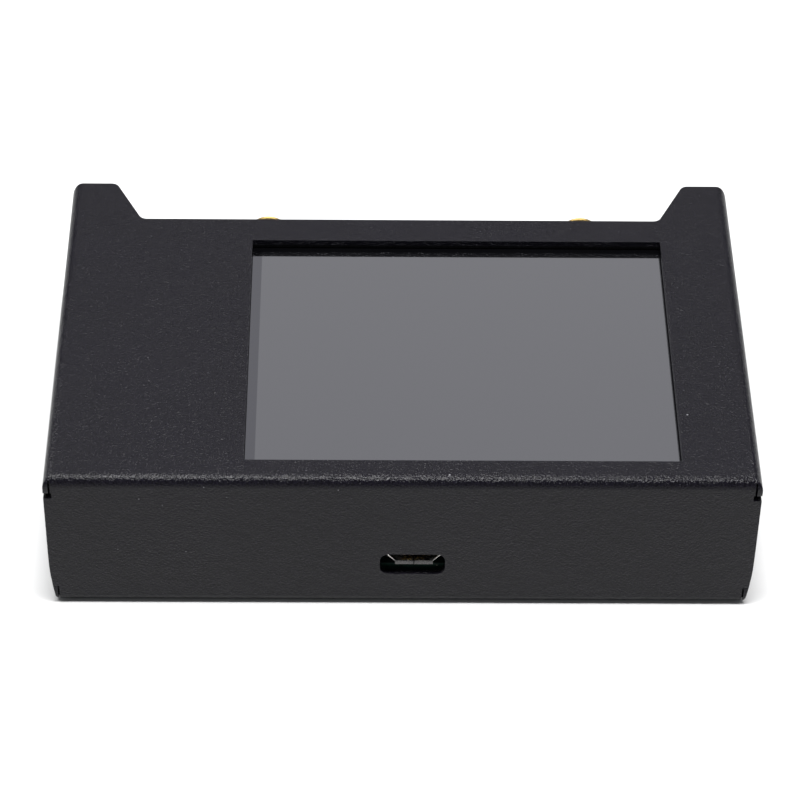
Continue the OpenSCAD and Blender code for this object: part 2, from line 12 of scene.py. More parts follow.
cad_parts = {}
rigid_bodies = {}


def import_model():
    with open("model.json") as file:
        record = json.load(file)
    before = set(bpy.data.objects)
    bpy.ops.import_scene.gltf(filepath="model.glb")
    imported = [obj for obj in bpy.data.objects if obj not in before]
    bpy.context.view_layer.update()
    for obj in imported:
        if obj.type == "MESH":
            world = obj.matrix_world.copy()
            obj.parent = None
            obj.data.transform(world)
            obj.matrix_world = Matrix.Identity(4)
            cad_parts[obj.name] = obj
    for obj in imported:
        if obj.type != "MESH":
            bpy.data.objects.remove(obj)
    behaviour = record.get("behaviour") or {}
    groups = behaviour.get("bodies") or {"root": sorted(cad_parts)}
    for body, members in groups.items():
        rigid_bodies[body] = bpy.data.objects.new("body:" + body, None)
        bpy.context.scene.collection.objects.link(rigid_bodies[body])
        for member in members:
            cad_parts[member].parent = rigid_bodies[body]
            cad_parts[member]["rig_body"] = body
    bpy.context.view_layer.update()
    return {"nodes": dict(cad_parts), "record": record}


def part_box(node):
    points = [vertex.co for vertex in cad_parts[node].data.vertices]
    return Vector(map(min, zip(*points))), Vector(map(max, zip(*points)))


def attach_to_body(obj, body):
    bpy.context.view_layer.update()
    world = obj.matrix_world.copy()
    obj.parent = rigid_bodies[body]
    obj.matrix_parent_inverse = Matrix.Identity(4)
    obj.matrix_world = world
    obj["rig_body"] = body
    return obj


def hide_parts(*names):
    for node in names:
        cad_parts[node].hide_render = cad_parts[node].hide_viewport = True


bl_info = {
    "name": "Handheld Network Analyzer",
    "version": (1, 0, 0),
    "blender": (4, 5, 0),
    "location": "View3D > Sidebar > Analyzer",
    "description": "Builds the pieces and finishes of a handheld network analyzer around its frame",
    "category": "Object",
}

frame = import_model()

MM = 0.001
PANEL_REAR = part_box("touch_panel")[1].y
PORTS = ("port_1", "port_2")
KEYS = ("key_left", "key_middle", "key_right")
SLOT_OF = {part["node"]: part["material_slot"] for part in frame["record"]["subparts"]}
MERGE = 0.5e-6
SHEET = 0.9 * MM


# ---------------------------------------------------------------- properties
class CoatProperties(bpy.types.PropertyGroup):
    colour: FloatVectorProperty(
        name="Coat", description="Colour of the powder coat", subtype="COLOR",
        default=(0.0030, 0.0026, 0.0046),
    )
    grain: FloatProperty(
        name="Grain", description="Size of the coat's grain", unit="LENGTH", default=0.24 * MM
    )
    relief: FloatProperty(
        name="Relief", description="Height of the coat's grain", unit="LENGTH", default=0.10 * MM
    )
    edge: FloatProperty(
        name="Edge", description="Radius that the coat gives the sheet's edges", unit="LENGTH",
        default=0.13 * MM,
    )


class ScreenProperties(bpy.types.PropertyGroup):
    colour: FloatVectorProperty(
        name="Screen", description="Colour of the unlit display", subtype="COLOR",
        default=(0.0040, 0.0040, 0.0048),
    )
    border: FloatVectorProperty(
        name="Border", description="Colour of the display's left and far borders", subtype="COLOR",
        default=(0.0012, 0.0012, 0.0015),
    )
    border_x: FloatProperty(
        name="Border edge", description="Where the left border ends", unit="LENGTH", default=-20.75 * MM
    )


class MetalProperties(bpy.types.PropertyGroup):
    gold: FloatVectorProperty(
        name="Gold", description="Colour of the gold plating", subtype="COLOR", default=(0.93, 0.66, 0.24)
    )
    tin: FloatVectorProperty(
        name="Tin", description="Colour of the tin plating", subtype="COLOR", default=(0.66, 0.64, 0.61)
    )
    pitch: FloatProperty(
        name="Thread pitch", description="Pitch of the test ports' thread", unit="LENGTH", default=0.7056 * MM
    )


class StageProperties(bpy.types.PropertyGroup):
    lens: FloatProperty(name="Lens", description="Focal length of the camera, in mm", default=144.1)
    camera_turn: FloatVectorProperty(
        name="Camera turn", description="Heading, tilt and roll of the camera", subtype="EULER",
        default=tuple(math.radians(a) for a in (-1.1154, 47.180, 1.0163)),
    )
    camera_place: FloatVectorProperty(
        name="Camera place", description="Place of the camera", subtype="TRANSLATION", unit="LENGTH",
        default=(-0.00684, -0.34970, 0.33381),
    )
    floor: FloatProperty(
        name="Floor", description="Brightness of the floor's paint", subtype="FACTOR", default=0.60
    )
    overhead: FloatProperty(name="Overhead light", description="Its power, in watts", default=32.0)
    rear: FloatProperty(name="Rear light", description="Its power, in watts", default=6.9)
    ambient: FloatProperty(name="Ambient", description="Strength of the light from all round", default=0.2)
    fine: IntProperty(name="Facets", description="Facets round a turned piece", default=64)


def settings(group):
    return getattr(bpy.context.scene, "analyzer_" + group)


# ---------------------------------------------------------------- modelling helpers
def deselect():
    if bpy.context.object and bpy.context.object.mode != "OBJECT":
        bpy.ops.object.mode_set(mode="OBJECT")
    bpy.ops.object.select_all(action="DESELECT")


def activate(piece):
    deselect()
    piece.select_set(True)
    bpy.context.view_layer.objects.active = piece


@contextmanager
def editing(piece, kind="FACE"):
    """Edit mode on one piece, with everything deselected."""
    activate(piece)
    bpy.ops.object.mode_set(mode="EDIT")
    bpy.ops.mesh.select_mode(type=kind)
    bpy.ops.mesh.select_all(action="DESELECT")
    yield
    bpy.ops.object.mode_set(mode="OBJECT")


def pick_all():
    bpy.ops.mesh.select_all(action="SELECT")


def pick(piece, kind, test):
    """Selects the vertices, edges or faces whose centre (and, for faces, normal) pass the test."""
    bpy.ops.object.mode_set(mode="OBJECT")
    mesh = piece.data
    for group in (mesh.vertices, mesh.edges, mesh.polygons):
        group.foreach_set("select", [False] * len(group))
    found = 0
    if kind == "VERT":
        for v in mesh.vertices:
            v.select = test(v.co)
            found += v.select
    elif kind == "EDGE":
        for e in mesh.edges:
            a, b = (mesh.vertices[i].co for i in e.vertices)
            e.select = test((a + b) / 2, (b - a).normalized())
            found += e.select
    else:
        for p in mesh.polygons:
            p.select = test(p.center, p.normal)
            found += p.select
    if not found:
        raise RuntimeError(f"{piece.name}: nothing to select")
    bpy.ops.object.mode_set(mode="EDIT")
    bpy.ops.mesh.select_mode(type=kind)


def settle(piece, name, place=(0, 0, 0), turn=(0, 0, 0)):
    """Names a piece, moves it to its place and leaves its object at the origin."""
    piece.name = name
    piece.data.name = name
    activate(piece)
    piece.matrix_world = Matrix.Translation(place) @ Euler(turn).to_matrix().to_4x4() @ piece.matrix_world
    bpy.ops.object.transform_apply(location=True, rotation=True, scale=True)
    return piece


def apply_modifier(piece, kind, **values):
    activate(piece)
    modifier = piece.modifiers.new(kind.title(), kind)
    for key, value in values.items():
        setattr(modifier, key, value)
    bpy.ops.object.modifier_apply(modifier=modifier.name)


def break_edges(piece, width, angle):
    """Rounds the edges that turn by more than an angle, in degrees."""
    apply_modifier(
        piece, "BEVEL", width=width, segments=2, limit_method="ANGLE", angle_limit=math.radians(angle)
    )


def smooth(piece, angle=35):
    activate(piece)
    bpy.ops.object.shade_smooth_by_angle(angle=math.radians(angle))
    apply_modifier(piece, "WEIGHTED_NORMAL", keep_sharp=True)


def push(x, y, z):
    """Draws out the selected faces."""
    bpy.ops.mesh.extrude_region_move(TRANSFORM_OT_translate={"value": (x, y, z)})


def draw_out(x, y, z):
    """Draws out the selected edges into a strip."""
    bpy.ops.mesh.extrude_edges_move(TRANSFORM_OT_translate={"value": (x, y, z)})


def stretch(by, centre=(0, 0, 0)):
    """Scales what is selected about a point."""
    bpy.ops.transform.resize(value=by, center_override=centre)


def face_out(piece):
    with editing(piece):
        pick_all()
        bpy.ops.mesh.normals_make_consistent(inside=False)


def block(name, low, high, round_edges=0.0, segments=2):
    """A box between two corners, with its edges rounded."""
    low, high = Vector(low), Vector(high)
    deselect()
    bpy.ops.mesh.primitive_cube_add(size=1, location=(low + high) / 2, scale=high - low)
    piece = settle(bpy.context.object, name)
    if round_edges:
        with editing(piece, "EDGE"):
            pick_all()
            bpy.ops.mesh.bevel(offset=round_edges, segments=segments, profile=0.5)
        smooth(piece)
    return piece


def turned(name, profile, place, turn=(-math.pi / 2, 0, 0), facets=None):
    """A turned piece: a disc, drawn out through the profile's (radius, height) steps, along +Y."""
    facets = facets or settings("stage").fine
    radius, height = profile[0]
    deselect()
    bpy.ops.mesh.primitive_circle_add(
        vertices=facets, radius=radius, fill_type="NGON", location=(0, 0, height)
    )
    piece = bpy.context.object
    bpy.ops.object.transform_apply(location=True, rotation=True, scale=True)
    with editing(piece):
        pick_all()
        for next_radius, next_height in profile[1:]:
            push(0, 0, next_height - height)
            scale = next_radius / radius
            stretch((scale, scale, 1), (0, 0, next_height))
            radius, height = next_radius, next_height
        pick_all()
        bpy.ops.mesh.normals_make_consistent(inside=False)
    settle(piece, name, place, turn)
    smooth(piece)
    return piece


def slice_at(place, normal):
    """Cuts edges into the whole piece along a plane, in edit mode."""
    pick_all()
    bpy.ops.mesh.bisect(plane_co=place, plane_no=normal, threshold=MERGE)


def joined(name, pieces):
    deselect()
    for piece in pieces:
        piece.select_set(True)
    bpy.context.view_layer.objects.active = pieces[0]
    bpy.ops.object.join()
    return settle(pieces[0], name)


def copy_of(piece, name, place=(0, 0, 0), turn=(0, 0, 0)):
    """Another of the same piece, with its own mesh."""
    twin = bpy.data.objects.new(name, piece.data.copy())
    bpy.context.collection.objects.link(twin)
    return settle(twin, name, place, turn)


def spread(name, piece, places, turns=None):
    """Copies of a piece at each place, joined. The piece itself isn't kept."""
    turns = turns or [(0, 0, 0)] * len(places)
    copies = [copy_of(piece, name, place, turn) for place, turn in zip(places, turns)]
    bpy.data.objects.remove(piece)
    return joined(name, copies)


def cut(piece, tool, operation="DIFFERENCE"):
    """A boolean with a tool that isn't kept."""
    apply_modifier(piece, "BOOLEAN", operation=operation, object=tool, solver="EXACT")
    bpy.data.objects.remove(tool)
    return piece


def softened(node, edge, sharp=38, segments=2):
    """A CAD node's own shape with its triangles joined and its sharp edges rounded, in its own finish."""
    piece = bpy.data.objects.new(node + "_piece", frame["nodes"][node].data.copy())
    bpy.context.collection.objects.link(piece)
    piece.data.name = piece.name
    with editing(piece, "EDGE"):
        pick_all()
        bpy.ops.mesh.remove_doubles(threshold=MERGE)
        bpy.ops.mesh.dissolve_limited(angle_limit=math.radians(0.4))
        bpy.ops.mesh.select_all(action="DESELECT")
        bpy.ops.mesh.edges_select_sharp(sharpness=math.radians(sharp))
        bpy.ops.mesh.bevel(offset=edge, segments=segments, profile=0.5, clamp_overlap=True)
    smooth(piece, 30)
    return fit(piece, node)


def fit(piece, *nodes):
    """Puts a finished piece in place of the CAD nodes it stands for, on their body and in their finish."""
    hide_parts(*nodes)
    return attach(piece, nodes[0], SLOT_OF[nodes[0]])


def attach(piece, node, slot):
    """Puts a piece on the body of a CAD node, in one of the record's finishes."""
    piece.data.materials.clear()
    piece.data.materials.append(finish(slot))
    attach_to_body(piece, frame["nodes"][node]["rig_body"])
    return piece


# ---------------------------------------------------------------- shader helpers
def add_node(tree, kind, inputs=None, **attributes):
    """A shader node; each input is a plain value or another node's socket."""
    node = tree.nodes.new(kind)
    for key, value in attributes.items():
        setattr(node, key, value)
    for key, value in (inputs or {}).items():
        if isinstance(value, bpy.types.NodeSocket):
            tree.links.new(value, node.inputs[key])
        else:
            node.inputs[key].default_value = value
    return node


def coordinates(tree):
    """Places on the piece itself, in metres."""
    return add_node(tree, "ShaderNodeTexCoord").outputs["Object"]


def maths(tree, operation, a, b=0.0, clamp=False):
    return add_node(tree, "ShaderNodeMath", {0: a, 1: b}, operation=operation, use_clamp=clamp).outputs[0]


def ramp(tree, value, low, high, smoothly=True):
    """0 below low, 1 above high."""
    node = add_node(
        tree, "ShaderNodeMapRange", {"Value": value, "From Min": low, "From Max": high},
        interpolation_type="SMOOTHSTEP" if smoothly else "LINEAR",
    )
    return node.outputs["Result"]


def mix_colour(tree, factor, a, b, blend="MIX"):
    node = add_node(tree, "ShaderNodeMix", data_type="RGBA", blend_type=blend, clamp_factor=True)
    for socket, value in ((node.inputs[0], factor), (node.inputs[6], a), (node.inputs[7], b)):
        if isinstance(value, bpy.types.NodeSocket):
            tree.links.new(value, socket)
        else:
            socket.default_value = tuple(value) + (1,) if socket is not node.inputs[0] else value
    return node.outputs[2]


def new_group(name, inputs, outputs):
    """An empty shader group with float sockets. inputs are (name, default); outputs are names."""
    group = bpy.data.node_groups.new(name, "ShaderNodeTree")
    for socket, default in inputs:
        item = group.interface.new_socket(name=socket, in_out="INPUT", socket_type="NodeSocketFloat")
        item.default_value = default
    for socket in outputs:
        group.interface.new_socket(name=socket, in_out="OUTPUT", socket_type="NodeSocketFloat")
    return group, group.nodes.new("NodeGroupInput").outputs, group.nodes.new("NodeGroupOutput").inputs


def grain_group():
    """Cured powder coat: fine pebbles on a slow orange peel. Sizes are in metres."""
    group, given, result = new_group(
        "powder_grain", [("Grain", 0.0003), ("Peel", 0.0016)], ["Height", "Tone"]
    )
    place = coordinates(group)
    fine = add_node(group, "ShaderNodeTexNoise", {
        "Vector": place, "Scale": maths(group, "DIVIDE", 1.0, given["Grain"]), "Detail": 2.0,
        "Roughness": 0.62,
    })
    pebbles = add_node(group, "ShaderNodeTexVoronoi", {
        "Vector": place, "Scale": maths(group, "DIVIDE", 0.8, given["Grain"]),
    }, feature="SMOOTH_F1")
    peel = add_node(group, "ShaderNodeTexNoise", {
        "Vector": place, "Scale": maths(group, "DIVIDE", 1.0, given["Peel"]), "Detail": 1.0,
    })
    pits = maths(group, "MULTIPLY", pebbles.outputs[0], 0.55)
    rough = maths(group, "SUBTRACT", fine.outputs[0], pits)
    height = maths(group, "ADD", rough, maths(group, "MULTIPLY", peel.outputs[0], 0.5))
    group.links.new(height, result["Height"])
    group.links.new(fine.outputs[0], result["Tone"])
    return group


def dust_group():
    """Sparse specks of settled dust: one possible speck a cell, of which a share is kept."""
    group, given, result = new_group(
        "dust_specks", [("Spacing", 0.003), ("Size", 0.00008), ("Share", 0.3)], ["Mask"]
    )
    place = coordinates(group)
    scale = maths(group, "DIVIDE", 1.0, given["Spacing"])
    cells = add_node(group, "ShaderNodeTexVoronoi", {"Vector": place, "Scale": scale, "Randomness": 1.0})
    picked = add_node(group, "ShaderNodeSeparateColor", {"Color": cells.outputs["Color"]})
    distance = maths(group, "MULTIPLY", cells.outputs["Distance"], given["Spacing"])
    radius = maths(group, "MULTIPLY", given["Size"], maths(group, "ADD", picked.outputs[1], 0.35))
    speck = maths(group, "LESS_THAN", distance, radius)
    kept = maths(group, "LESS_THAN", picked.outputs[0], given["Share"])
    group.links.new(maths(group, "MULTIPLY", speck, kept), result["Mask"])
    return group


def smudge_group():
    """Slow cloudiness from handling, 0 to 1."""
    group, given, result = new_group("handling", [("Size", 0.02), ("Streak", 1.0)], ["Mask"])
    place = coordinates(group)
    stretch = add_node(group, "ShaderNodeCombineXYZ", {"X": 1.0, "Y": given["Streak"], "Z": 1.0})
    place = add_node(group, "ShaderNodeVectorMath", {0: place, 1: stretch.outputs[0]}, operation="MULTIPLY")
    cloud = add_node(group, "ShaderNodeTexNoise", {
        "Vector": place.outputs[0], "Scale": maths(group, "DIVIDE", 1.0, given["Size"]), "Detail": 4.0,
        "Roughness": 0.6, "Distortion": 0.6,
    })
    group.links.new(ramp(group, cloud.outputs[0], 0.35, 0.7), result["Mask"])
    return group


def rubbed_and_highlit_edges_group():
    """Lightened edges, where a rounded normal leaves the true one: rubbed wear on plastics and plating, a
    painted highlight on the powder coat.
    """
    group, given, result = new_group("edge_wear", [("Width", 0.0003), ("Amount", 1.0)], ["Mask"])
    bevel = add_node(group, "ShaderNodeBevel", {"Radius": given["Width"]}, samples=4)
    true_normal = add_node(group, "ShaderNodeNewGeometry").outputs["Normal"]
    agreement = add_node(
        group, "ShaderNodeVectorMath", {0: bevel.outputs[0], 1: true_normal}, operation="DOT_PRODUCT"
    )
    edge = maths(group, "SUBTRACT", 1.0, agreement.outputs["Value"])
    place = coordinates(group)
    patches = add_node(group, "ShaderNodeTexNoise", {"Vector": place, "Scale": 900.0, "Detail": 3.0})
    # The mask lightens edges: real rubbing on some finishes, a painted highlight where the powder coat uses
    # it.
    rubbed_and_highlit_edge = maths(group, "MULTIPLY", edge, ramp(group, patches.outputs[0], 0.35, 0.7))
    group.links.new(maths(group, "MULTIPLY", rubbed_and_highlit_edge, given["Amount"], clamp=True), result["Mask"])
    return group


GROUPS = {}


def use_group(tree, name, **values):
    makers = {"grain": grain_group, "dust": dust_group, "handling": smudge_group, "wear": rubbed_and_highlit_edges_group}
    if name not in GROUPS:
        GROUPS[name] = makers[name]()
    node = tree.nodes.new("ShaderNodeGroup")
    node.node_tree = GROUPS[name]
    for key, value in values.items():
        node.inputs[key.title()].default_value = value
    return node.outputs


def new_material(name, **values):
    """A material with its Principled shader; plain values go on the shader's own sockets."""
    material = bpy.data.materials.new(name)
    material.use_nodes = True
    tree = material.node_tree
    shader = tree.nodes["Principled BSDF"]
    for key, value in values.items():
        socket = shader.inputs[key.replace("_", " ").title().replace("Ior", "IOR")]
        socket.default_value = tuple(value) + (1,) if key in ("base_color", "specular_tint") else value
    return material, tree, shader


def bump(tree, shader, height, distance, strength=1.0):
    node = add_node(tree, "ShaderNodeBump", {"Height": height, "Distance": distance, "Strength": strength})
    tree.links.new(node.outputs[0], shader.inputs["Normal"])


def tint(tree, shader, factor, low, high):
    """Base colour between two shades."""
    tree.links.new(mix_colour(tree, factor, low, high), shader.inputs["Base Color"])


def lay_over(tree, shader, mask, colour):
    """Lays a colour over the base colour where the mask is."""
    under = shader.inputs["Base Color"].links[0].from_socket
    tree.links.new(mix_colour(tree, mask, under, colour), shader.inputs["Base Color"])


def polish(tree, shader, factor, low, high):
    """Roughness between two values."""
    node = add_node(tree, "ShaderNodeMapRange", {"Value": factor, "To Min": low, "To Max": high})
    tree.links.new(node.outputs["Result"], shader.inputs["Roughness"])


def shade(colour, by):
    return tuple(channel * by for channel in colour)


# ---------------------------------------------------------------- finishes
DUST = (0.13, 0.13, 0.14)


def powder_coat(name, brightness=1.0):
    """Black powder coat: pebbled grain on a slow peel, a painted highlight along its edges, with settled
    dust.
    """
    coat = settings("coat")
    material, tree, shader = new_material(name, specular_ior_level=0.16)
    grain = use_group(tree, "grain", grain=coat.grain)
    tint(tree, shader, ramp(tree, grain["Tone"], 0.3, 0.72),
         shade(coat.colour, 0.4 * brightness), shade(coat.colour, 2.0 * brightness))
    handled = use_group(tree, "handling", size=0.018)["Mask"]
    lay_over(tree, shader, maths(tree, "MULTIPLY", handled, 0.16), shade(coat.colour, 2.2))
    # Painted highlight: a lighter colour laid along the coat's edges stands in for the light they catch; the
    # coat isn't worn there.
    rubbed_and_highlit_edge = use_group(tree, "wear", width=0.00035, amount=1.6)["Mask"]
    lay_over(tree, shader, rubbed_and_highlit_edge, (0.03, 0.03, 0.033))
    specks = use_group(tree, "dust", spacing=0.0008, size=0.00007, share=0.3)["Mask"]
    lay_over(tree, shader, specks, (0.035, 0.035, 0.042))
    dust = use_group(tree, "dust", spacing=0.0031, size=0.00011, share=0.22)["Mask"]
    lay_over(tree, shader, dust, DUST)
    polish(tree, shader, maths(tree, "ADD", handled, maths(tree, "MULTIPLY", dust, 3.0)), 0.26, 0.20)
    bump(tree, shader, grain["Height"], coat.relief)
    return material


def moulded(name, colour, roughness=0.42, grain=0.00016, relief=0.008, **values):
    """Moulded plastic: spark-eroded texture, slow gloss changes and lighter edges."""
    material, tree, shader = new_material(name, **values)
    texture = use_group(tree, "grain", grain=grain, peel=0.0012)
    handled = use_group(tree, "handling", size=0.004)["Mask"]
    tint(tree, shader, ramp(tree, texture["Tone"], 0.3, 0.7), shade(colour, 0.88), shade(colour, 1.1))
    lay_over(tree, shader, use_group(tree, "wear", width=0.00015, amount=0.8)["Mask"],
             tuple(min(1.0, channel * 1.5 + 0.02) for channel in colour))
    polish(tree, shader, handled, roughness + 0.06, roughness - 0.08)
    bump(tree, shader, texture["Height"], relief * MM)
    return material


def plated(name, colour, roughness=0.2, brushed=6.0, **values):
    """Plated metal: fine directional scratches, slow tarnish and bright rubbed edges."""
    material, tree, shader = new_material(name, metallic=1.0, **values)
    tarnish = use_group(tree, "handling", size=0.0035)["Mask"]
    scratches = use_group(tree, "handling", size=0.00035, streak=brushed)["Mask"]
    tint(tree, shader, tarnish, colour, shade(colour, 0.7))
    lay_over(tree, shader, use_group(tree, "wear", width=0.00012, amount=0.9)["Mask"],
             tuple(min(1.0, channel * 1.12) for channel in colour))
    polish(tree, shader, scratches, roughness, roughness + 0.14)
    bump(tree, shader, scratches, 0.004 * MM)
    return material


def screen_film(name):
    """The display's face: near-black depths under a hard gloss, with a duller border and fine dust."""
    screen = settings("screen")
    material, tree, shader = new_material(
        name, ior=1.66, specular_tint=(0.87, 0.87, 1.0), coat_roughness=0.05, coat_ior=1.5
    )
    place = coordinates(tree)
    apart = add_node(tree, "ShaderNodeSeparateXYZ", {"Vector": place}).outputs
    far, soft = PANEL_REAR, 0.05 * MM
    lit_part = maths(tree, "MULTIPLY", ramp(tree, apart["X"], screen.border_x - soft, screen.border_x + soft),
                     ramp(tree, apart["Y"], far - 1.6 * MM, far - 3.4 * MM))
    tree.links.new(maths(tree, "MULTIPLY", lit_part, 0.58), shader.inputs["Coat Weight"])
    cloud = use_group(tree, "handling", size=0.03)["Mask"]
    tint(tree, shader, lit_part, screen.border, screen.colour)
    lay_over(tree, shader, maths(tree, "MULTIPLY", cloud, 0.08), shade(screen.colour, 1.8))
    lay_over(tree, shader, use_group(tree, "dust", spacing=0.0075, size=0.00010, share=0.14)["Mask"], DUST)
    polish(tree, shader, use_group(tree, "handling", size=0.012, streak=0.3)["Mask"], 0.045, 0.09)
    return material


def glass(name, colour):
    """Glass that is mostly seen through its own coatings."""
    material, tree, shader = new_material(name, ior=1.52)
    cloud = use_group(tree, "handling", size=0.01)["Mask"]
    tint(tree, shader, cloud, colour, shade(colour, 1.3))
    polish(tree, shader, cloud, 0.05, 0.12)
    return material


def foam(name, colour):
    """Closed-cell foam."""
    material, tree, shader = new_material(name, specular_ior_level=0.2)
    place = coordinates(tree)
    cells = add_node(tree, "ShaderNodeTexVoronoi", {"Vector": place, "Scale": 3600.0}, feature="SMOOTH_F1")
    tint(tree, shader, ramp(tree, cells.outputs[0], 0.1, 0.6), shade(colour, 1.5), shade(colour, 0.5))
    polish(tree, shader, cells.outputs[0], 0.85, 0.98)
    bump(tree, shader, cells.outputs[0], 0.05 * MM)
    return material


def circuit_board(name, colour):
    """Solder mask over copper: raised tracks, tinned vias and a faint weave of glass."""
    material, tree, shader = new_material(name, ior=1.5)
    place = coordinates(tree)
    tracks = add_node(tree, "ShaderNodeTexBrick", {
        "Vector": place, "Scale": 260.0, "Mortar Size": 0.06, "Mortar Smooth": 0.2, "Brick Width": 1.7,
    }, offset=0.37)
    weave = add_node(tree, "ShaderNodeTexChecker", {"Vector": place, "Scale": 3200.0}).outputs[1]
    vias = add_node(tree, "ShaderNodeTexVoronoi", {"Vector": place, "Scale": 420.0, "Randomness": 0.8})
    picked = add_node(tree, "ShaderNodeSeparateColor", {"Color": vias.outputs["Color"]}).outputs[0]
    via = maths(tree, "MULTIPLY", maths(tree, "LESS_THAN", vias.outputs["Distance"], 0.16),
                maths(tree, "LESS_THAN", picked, 0.3))
    tint(tree, shader, tracks.outputs["Fac"], shade(colour, 1.35), shade(colour, 0.7))
    lay_over(tree, shader, maths(tree, "MULTIPLY", weave, 0.12), shade(colour, 1.8))
    lay_over(tree, shader, via, (0.62, 0.58, 0.5))
    tree.links.new(via, shader.inputs["Metallic"])
    polish(tree, shader, use_group(tree, "handling", size=0.006)["Mask"], 0.28, 0.4)
    relief = maths(tree, "ADD", tracks.outputs["Fac"], maths(tree, "MULTIPLY", via, -2.0))
    bump(tree, shader, relief, -0.02 * MM)
    return material


def ribbon_film(name, colour):
    """Polyimide over a row of copper tracks."""
    material, tree, shader = new_material(name, coat_weight=0.4, coat_roughness=0.15)
    place = coordinates(tree)
    along = add_node(tree, "ShaderNodeSeparateXYZ", {"Vector": place}).outputs["Y"]
    wave = maths(tree, "SINE", maths(tree, "MULTIPLY", along, 2 * math.pi / (0.5 * MM)))
    track = ramp(tree, wave, -0.15, 0.15)
    tint(tree, shader, track, colour, shade(colour, 0.5))
    polish(tree, shader, use_group(tree, "handling", size=0.004)["Mask"], 0.25, 0.42)
    bump(tree, shader, track, 0.02 * MM)
    return material


def crinkled_foil(name, colour):
    """Laminated pouch foil: satin, with soft creases and an embossed grain."""
    material, tree, shader = new_material(name, metallic=0.85)
    place = coordinates(tree)
    creases = add_node(tree, "ShaderNodeTexNoise", {
        "Vector": place, "Scale": 170.0, "Detail": 5.0, "Roughness": 0.5, "Distortion": 1.4,
    }).outputs[0]
    fine = use_group(tree, "grain", grain=0.00025, peel=0.0009)
    tint(tree, shader, creases, shade(colour, 0.8), shade(colour, 1.1))
    polish(tree, shader, creases, 0.34, 0.5)
    height = maths(tree, "ADD", maths(tree, "MULTIPLY", creases, 6.0), fine["Height"])
    bump(tree, shader, height, 0.03 * MM)
    return material


FINISHES = {
    "cover_coat": (powder_coat,),
    "tray_coat": (powder_coat, 0.94),
    "black_screw": (plated, (0.028, 0.027, 0.027), 0.34),
    "steel": (plated, (0.56, 0.55, 0.54), 0.24),
    "foam": (foam, (0.009, 0.009, 0.010)),
    "touch_film": (screen_film,),
    "lcd_glass": (glass, (0.05, 0.05, 0.06)),
    "light_guide": (glass, (0.82, 0.83, 0.82)),
    "tin": (plated, "tin", 0.2, 9.0),
    "tape": (moulded, (0.78, 0.77, 0.70), 0.6),
    "polyimide": (ribbon_film, (0.46, 0.17, 0.025)),
    "cream_plastic": (moulded, (0.72, 0.68, 0.56), 0.4),
    "black_plastic": (moulded, (0.012, 0.012, 0.013), 0.4),
    "key_plastic": (moulded, (0.014, 0.014, 0.016), 0.36, 0.0002, 0.012),
    "solder_mask": (circuit_board, (0.004, 0.014, 0.010)),
    "chip": (moulded, (0.016, 0.016, 0.017), 0.55, 0.00012),
    "ferrite": (moulded, (0.035, 0.036, 0.04), 0.6, 0.0002, 0.02),
    "standoff_brass": (plated, (0.74, 0.52, 0.22), 0.22),
    "gold": (plated, "gold", 0.16, 8.0),
    "ptfe": (moulded, (0.86, 0.85, 0.82), 0.35, 0.0002, 0.006),
    "led": (moulded, (0.80, 0.76, 0.58), 0.25),
    "clear_plastic": (moulded, (0.80, 0.82, 0.83), 0.16, 0.00016, 0.003),
    "cell_foil": (crinkled_foil, (0.63, 0.64, 0.66)),
    "wire_red": (moulded, (0.42, 0.018, 0.014), 0.3, 0.0003, 0.006),
}
EXTRAS = {
    "led": {"subsurface_weight": 0.15, "subsurface_scale": 0.0005},
    "clear_plastic": {"transmission_weight": 0.85},
}
MADE = {}


def finish(slot):
    """The finish of one of the record's slots. A name in its values is a metal's colour."""
    if slot not in MADE:
        maker, *values = FINISHES[slot]
        values = [tuple(getattr(settings("metal"), v)) if isinstance(v, str) else v for v in values]
        MADE[slot] = maker(slot, *values, **EXTRAS.get(slot, {}))
    return MADE[slot]


# ---------------------------------------------------------------- the stage
def softbox(name, place, size, strength, target=(0, 0, 0)):
    """A rectangular studio light that faces its target. The strength is in watts."""
    deselect()
    bpy.ops.object.light_add(type="AREA", location=place)
    light = bpy.context.object
    light.name = name
    light.data.shape = "RECTANGLE"
    light.data.size, light.data.size_y = size
    light.data.energy = strength
    light.rotation_mode = "QUATERNION"
    light.rotation_quaternion = (Vector(target) - Vector(place)).to_track_quat("-Z", "Y")
    return light


class ANALYZER_OT_stage(bpy.types.Operator):
    """Sets the camera, the pale floor and the studio lights"""
    bl_idname = "analyzer.stage"
    bl_label = "Stage"

    def execute(self, context):
        stage = settings("stage")
        deselect()
        bpy.ops.object.camera_add()
        camera = context.object
        camera.name = "camera"
        camera.data.lens = stage.lens
        camera.data.clip_start, camera.data.clip_end = 0.01, 50
        heading, tilt, roll = stage.camera_turn
        camera.matrix_world = (
            Matrix.Translation(stage.camera_place)
            @ Matrix.Rotation(heading, 4, "Z") @ Matrix.Rotation(tilt, 4, "X") @ Matrix.Rotation(roll, 4, "Z")
        )
        context.scene.camera = camera

        bpy.ops.mesh.primitive_plane_add(size=9, location=(0, 0, 0))
        floor = context.object
        floor.name = "floor"
        material, tree, shader = new_material("floor_paint", roughness=0.75, specular_ior_level=0.2)
        cloud = use_group(tree, "handling", size=0.3)["Mask"]
        tint(tree, shader, cloud, shade((1, 1, 1), stage.floor), shade((1, 1, 1), stage.floor * 0.985))
        floor.data.materials.append(material)

        softbox("light_above", (0.0, -0.08, 1.22), (0.60, 0.24), stage.overhead)
        softbox("light_behind", (0.0, 1.16, 1.10), (1.5, 0.95), stage.rear)
        world = bpy.data.worlds.new("studio")
        world.use_nodes = True
        sky = world.node_tree.nodes["Background"].inputs
        sky["Color"].default_value = (0.94, 0.96, 1.0, 1)
        sky["Strength"].default_value = stage.ambient
        context.scene.world = world
        context.scene.view_settings.view_transform = "Standard"
        return {"FINISHED"}


